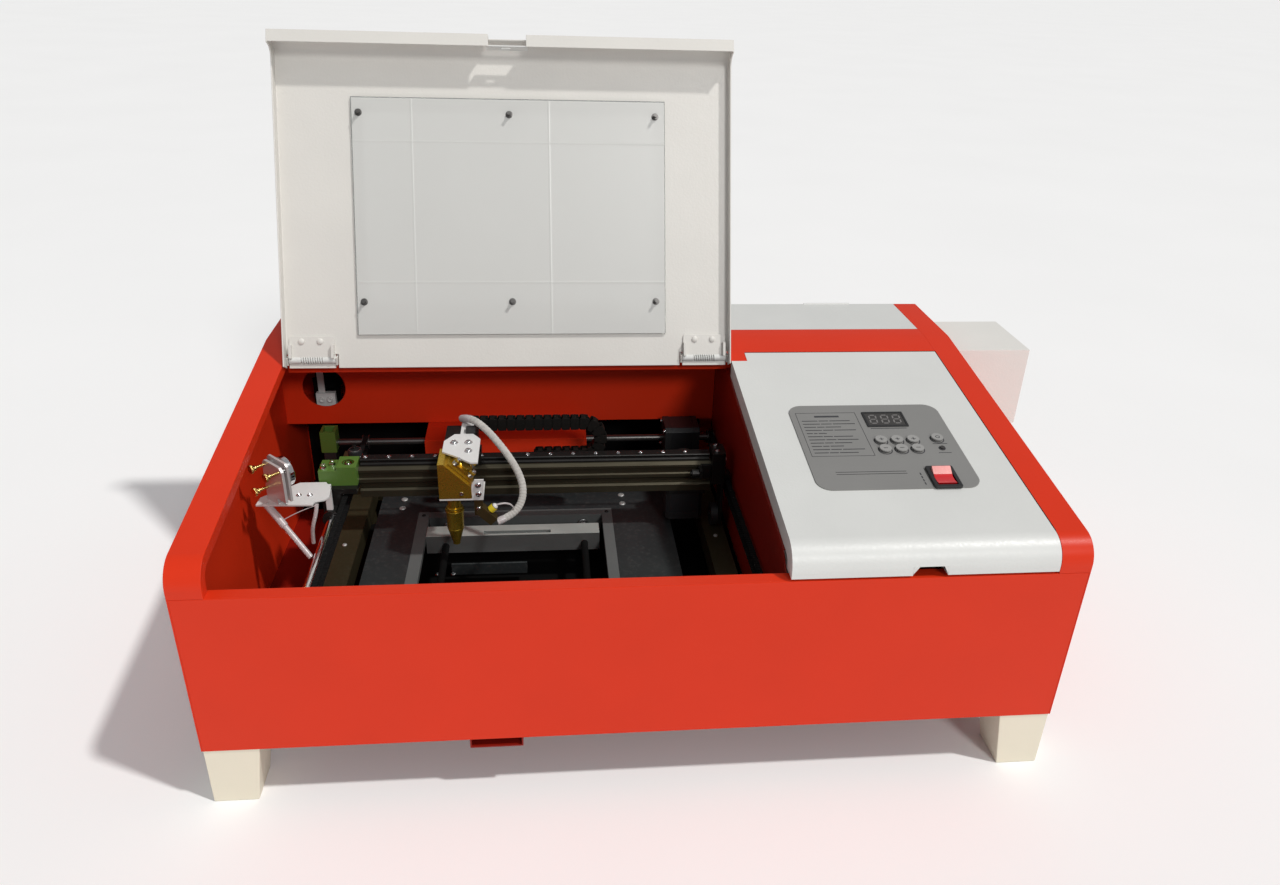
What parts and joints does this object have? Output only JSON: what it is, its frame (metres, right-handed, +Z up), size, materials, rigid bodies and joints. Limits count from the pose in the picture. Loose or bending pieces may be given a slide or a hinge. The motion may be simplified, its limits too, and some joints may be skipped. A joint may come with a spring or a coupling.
{
  "type": "laser engraver",
  "caption": "Benchtop laser engraver with a raised windowed lid, a belt-driven gantry and mirror head over a clamping bed, a sloped control lid and a rear tube compartment.",
  "frame": {"origin": "centre of the bounding box's floor rectangle, on the floor under the feet, with the lid open", "axes": "+X to the right along the front, +Y from the front to the back, +Z up"},
  "size_m": [0.91, 0.525, 0.6325],
  "materials": {
    "red_sheet": "satin powder coat",
    "white_sheet": "satin powder coat",
    "cream_plastic": "matte",
    "tube_glass": "clear",
    "grey_plastic": "matte",
    "black_plastic": "matte",
    "dark_anodised": "anodised",
    "bronze_anodised": "anodised",
    "green_paint": "satin",
    "chrome": "polished",
    "mirror_metal": "brushed",
    "steel": "turned",
    "motor_metal": "satin",
    "belt_rubber": "matte",
    "black_board": "satin",
    "bed_aluminium": "extruded",
    "white_plate": "satin",
    "gold": "gold anodised",
    "hose_sleeve": "woven sleeve",
    "clear_window": "clear acrylic",
    "display_black": "smoked",
    "button_plastic": "gloss",
    "rocker_red": "gloss",
    "electronics_metal": "folded sheet"
  },
  "bodies": {
    "casing": {"base_pan": "red_sheet", "front_panel": "red_sheet", "side_panel_left": "red_sheet", "side_panel_right": "red_sheet", "rear_panel": "red_sheet", "rear_deck": "red_sheet", "tube_bulkhead": "red_sheet", "tube_floor": "red_sheet", "cabin_divider": "red_sheet", "feet": "cream_plastic", "tube_extension": "white_sheet", "laser_tube": "tube_glass", "tube_mounts": "grey_plastic", "exhaust_duct": "red_sheet", "fan_frame": "black_plastic", "stage_frame": "bronze_anodised", "y_rod": "chrome", "shaft_block": "green_paint", "y_motor": "motor_metal", "y_belts": "belt_rubber", "bed_plate": "black_board", "bed_frame": "bed_aluminium", "electronics": "electronics_metal", "rear_connectors": "black_plastic"},
    "gantry": {"gantry_beam": "dark_anodised", "left_carriage": "green_paint", "rod_bearing": "dark_anodised", "right_bracket": "dark_anodised", "mirror_bracket": "white_sheet", "gantry_mirror": "mirror_metal", "x_motor": "motor_metal", "x_belt": "belt_rubber", "drag_chain": "black_plastic"},
    "head": {"head_carriage": "dark_anodised", "head_plates": "white_plate", "laser_head": "gold", "pointer": "gold", "air_hose": "hose_sleeve"},
    "idler_wheel": {"x_idler": "steel"},
    "motor_pulley": {"x_pulley": "steel"},
    "cross_shaft": {"y_shaft": "steel"},
    "front_idlers": {"y_idlers": "steel"},
    "roller": {"support_roller": "steel"},
    "impeller": {"fan_impeller": "black_plastic"},
    "jaw": {"clamp_jaw": "bed_aluminium"},
    "lid": {"main_lid": "white_sheet", "lid_window": "clear_window", "lid_hinges": "white_sheet"},
    "control_cover": {"control_lid": "white_sheet", "panel_plate": "grey_plastic", "display": "display_black"},
    "rocker": {"rocker_switch": "rocker_red"},
    "rear_cover": {"tube_cover": "white_sheet"},
    "power_digit_one_up": {"power_digit_one_up_button": "button_plastic"},
    "power_digit_two_up": {"power_digit_two_up_button": "button_plastic"},
    "power_digit_three_up": {"power_digit_three_up_button": "button_plastic"},
    "power_digit_one_down": {"power_digit_one_down_button": "button_plastic"},
    "power_digit_two_down": {"power_digit_two_down_button": "button_plastic"},
    "power_digit_three_down": {"power_digit_three_down_button": "button_plastic"},
    "laser_test": {"laser_test_button": "button_plastic"}
  },
  "joints": [
    {"name": "main_lid_hinge", "type": "hinge", "parent": "casing", "child": "lid", "pos_m": [-0.178, 0.0735, 0.304], "axis": [1, 0, 0], "range_deg": [0, 119.7]},
    {"name": "control_lid_hinge", "type": "hinge", "parent": "casing", "child": "control_cover", "pos_m": [0.192, 0.0735, 0.304], "axis": [-1, 0, 0], "range_deg": [0, 100]},
    {"name": "tube_cover_hinge", "type": "hinge", "parent": "casing", "child": "rear_cover", "pos_m": [-0.055, 0.2372, 0.311], "axis": [-1, 0, 0], "range_deg": [0, 100]},
    {"name": "gantry_y", "type": "slide", "parent": "casing", "child": "gantry", "axis": [0, 1, 0], "range_m": [-0.16, 0.04]},
    {"name": "head_x", "type": "slide", "parent": "gantry", "child": "head", "axis": [1, 0, 0], "range_m": [-0.085, 0.215]},
    {"name": "x_idler_spin", "type": "hinge", "parent": "gantry", "child": "idler_wheel", "pos_m": [-0.351, 0.025, 0.205], "axis": [0, 0, 1], "continuous": true},
    {"name": "x_pulley_spin", "type": "hinge", "parent": "gantry", "child": "motor_pulley", "pos_m": [0.015, 0.025, 0.205], "axis": [0, 0, 1], "continuous": true},
    {"name": "y_shaft_spin", "type": "hinge", "parent": "casing", "child": "cross_shaft", "pos_m": [-0.155, 0.1225, 0.178], "axis": [1, 0, 0], "continuous": true},
    {"name": "y_idler_spin", "type": "hinge", "parent": "casing", "child": "front_idlers", "pos_m": [-0.155, -0.2175, 0.178], "axis": [1, 0, 0], "continuous": true},
    {"name": "roller_spin", "type": "hinge", "parent": "gantry", "child": "roller", "pos_m": [0.0494, 0.0055, 0.1376], "axis": [1, 0, 0], "continuous": true},
    {"name": "fan_spin", "type": "hinge", "parent": "casing", "child": "impeller", "pos_m": [-0.189, 0.2475, 0.138], "axis": [0, 1, 0], "continuous": true},
    {"name": "jaw_slide", "type": "slide", "parent": "casing", "child": "jaw", "axis": [0, 1, 0], "range_m": [-0.13, 0.022]},
    {"name": "rocker_tilt", "type": "hinge", "parent": "control_cover", "child": "rocker", "pos_m": [0.238, -0.16136, 0.27132], "axis": [1, 0, 0], "range_deg": [-16, 0]},
    {"name": "power_digit_one_up_press", "type": "slide", "parent": "control_cover", "child": "power_digit_one_up", "axis": [0, 0.1364, -0.9907], "range_m": [0, 0.0014], "stiffness_N_per_m": 400, "springref_m": -0.001},
    {"name": "power_digit_two_up_press", "type": "slide", "parent": "control_cover", "child": "power_digit_two_up", "axis": [0, 0.1364, -0.9907], "range_m": [0, 0.0014], "stiffness_N_per_m": 400, "springref_m": -0.001},
    {"name": "power_digit_three_up_press", "type": "slide", "parent": "control_cover", "child": "power_digit_three_up", "axis": [0, 0.1364, -0.9907], "range_m": [0, 0.0014], "stiffness_N_per_m": 400, "springref_m": -0.001},
    {"name": "power_digit_one_down_press", "type": "slide", "parent": "control_cover", "child": "power_digit_one_down", "axis": [0, 0.1364, -0.9907], "range_m": [0, 0.0014], "stiffness_N_per_m": 400, "springref_m": -0.001},
    {"name": "power_digit_two_down_press", "type": "slide", "parent": "control_cover", "child": "power_digit_two_down", "axis": [0, 0.1364, -0.9907], "range_m": [0, 0.0014], "stiffness_N_per_m": 400, "springref_m": -0.001},
    {"name": "power_digit_three_down_press", "type": "slide", "parent": "control_cover", "child": "power_digit_three_down", "axis": [0, 0.1364, -0.9907], "range_m": [0, 0.0014], "stiffness_N_per_m": 400, "springref_m": -0.001},
    {"name": "laser_test_press", "type": "slide", "parent": "control_cover", "child": "laser_test", "axis": [0, 0.1364, -0.9907], "range_m": [0, 0.0014], "stiffness_N_per_m": 400, "springref_m": -0.001}
  ],
  "couplings": [
    {"joint": "x_idler_spin", "follows": "head_x", "rad_per_m": 153.85},
    {"joint": "x_pulley_spin", "follows": "head_x", "rad_per_m": 153.85},
    {"joint": "y_shaft_spin", "follows": "gantry_y", "rad_per_m": -153.85},
    {"joint": "y_idler_spin", "follows": "gantry_y", "rad_per_m": -153.85},
    {"joint": "roller_spin", "follows": "gantry_y", "rad_per_m": -75.758}
  ]
}
